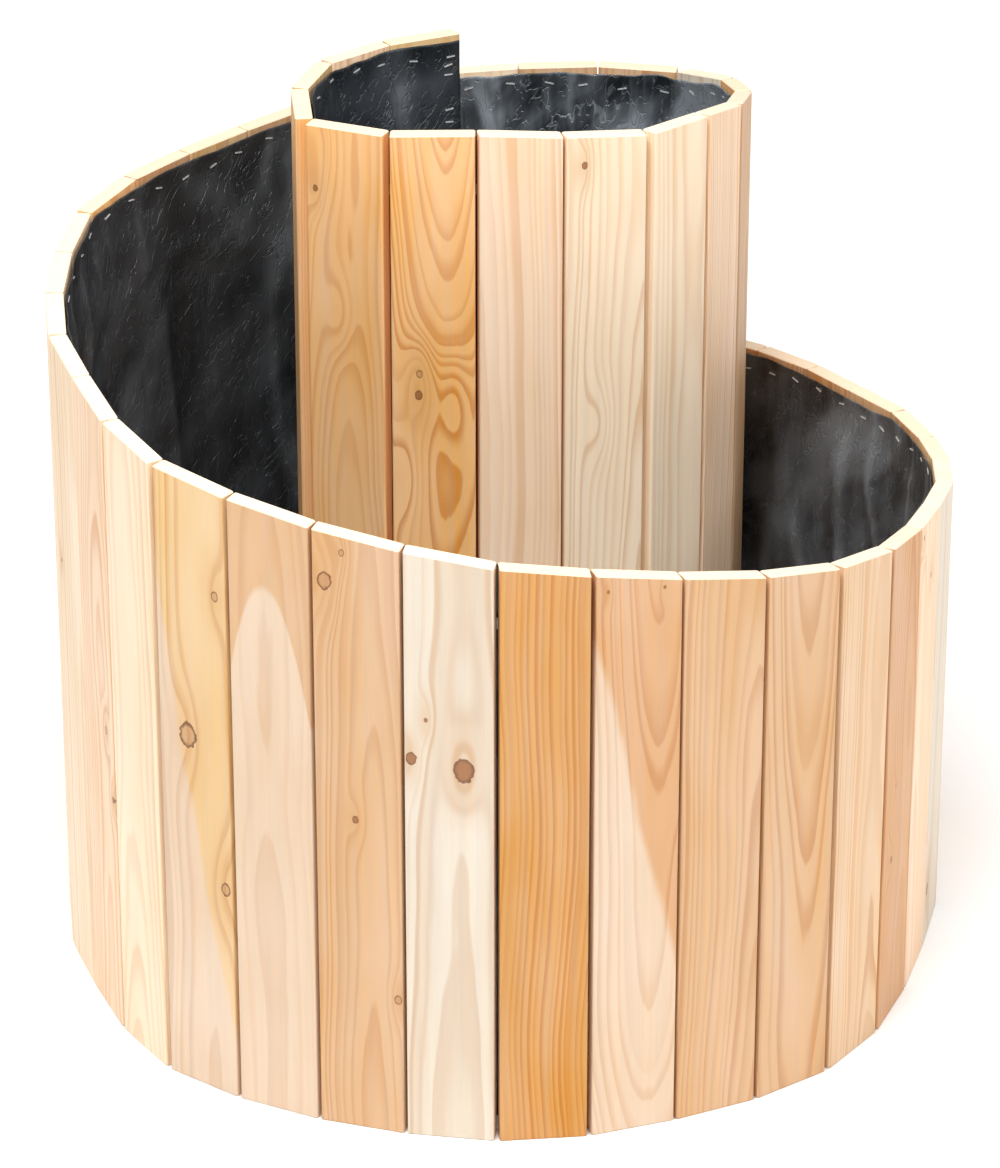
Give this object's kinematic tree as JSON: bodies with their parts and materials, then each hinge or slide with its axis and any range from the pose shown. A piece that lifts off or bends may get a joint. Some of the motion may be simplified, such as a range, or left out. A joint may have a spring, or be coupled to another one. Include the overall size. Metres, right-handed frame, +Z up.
{
  "type": "herb spiral planter",
  "caption": "Free-standing herb spiral planter: upright softwood slats strapped into one long wall, rolled into a descending spiral and lined with stapled black film.",
  "frame": {"origin": "centre of the bounding box in plan, on the floor the slats stand on", "axes": "+Z up; the pictured front faces -Y; seen from above the wall runs anticlockwise from its tall inner end to its low outer end"},
  "size_m": [0.961, 1.1037, 0.868],
  "materials": {
    "slat_wood": "planed, unfinished softwood",
    "strap_steel": "galvanised",
    "nail_steel": "bright",
    "film_black": "thin soft film, semi-gloss",
    "staple_steel": "bright wire"
  },
  "bodies": {
    "root": {"slat_01": "slat_wood", "slat_02": "slat_wood", "slat_03": "slat_wood", "slat_04": "slat_wood", "slat_05": "slat_wood", "slat_06": "slat_wood", "slat_07": "slat_wood", "slat_08": "slat_wood", "slat_09": "slat_wood", "slat_10": "slat_wood", "slat_11": "slat_wood", "slat_12": "slat_wood", "slat_13": "slat_wood", "slat_14": "slat_wood", "slat_15": "slat_wood", "slat_16": "slat_wood", "slat_17": "slat_wood", "slat_18": "slat_wood", "slat_19": "slat_wood", "slat_20": "slat_wood", "slat_21": "slat_wood", "slat_22": "slat_wood", "slat_23": "slat_wood", "slat_24": "slat_wood", "slat_25": "slat_wood", "slat_26": "slat_wood", "slat_27": "slat_wood", "slat_28": "slat_wood", "slat_29": "slat_wood", "slat_30": "slat_wood", "slat_31": "slat_wood", "slat_32": "slat_wood", "slat_33": "slat_wood", "slat_34": "slat_wood", "slat_35": "slat_wood", "slat_36": "slat_wood", "slat_37": "slat_wood", "slat_38": "slat_wood", "slat_39": "slat_wood", "slat_40": "slat_wood", "slat_41": "slat_wood", "slat_42": "slat_wood", "slat_43": "slat_wood", "slat_44": "slat_wood", "slat_45": "slat_wood", "slat_46": "slat_wood", "slat_47": "slat_wood", "strap_upper": "strap_steel", "strap_lower": "strap_steel", "strap_nails": "nail_steel", "liner": "film_black", "liner_staples": "staple_steel"}
  },
  "joints": []
}
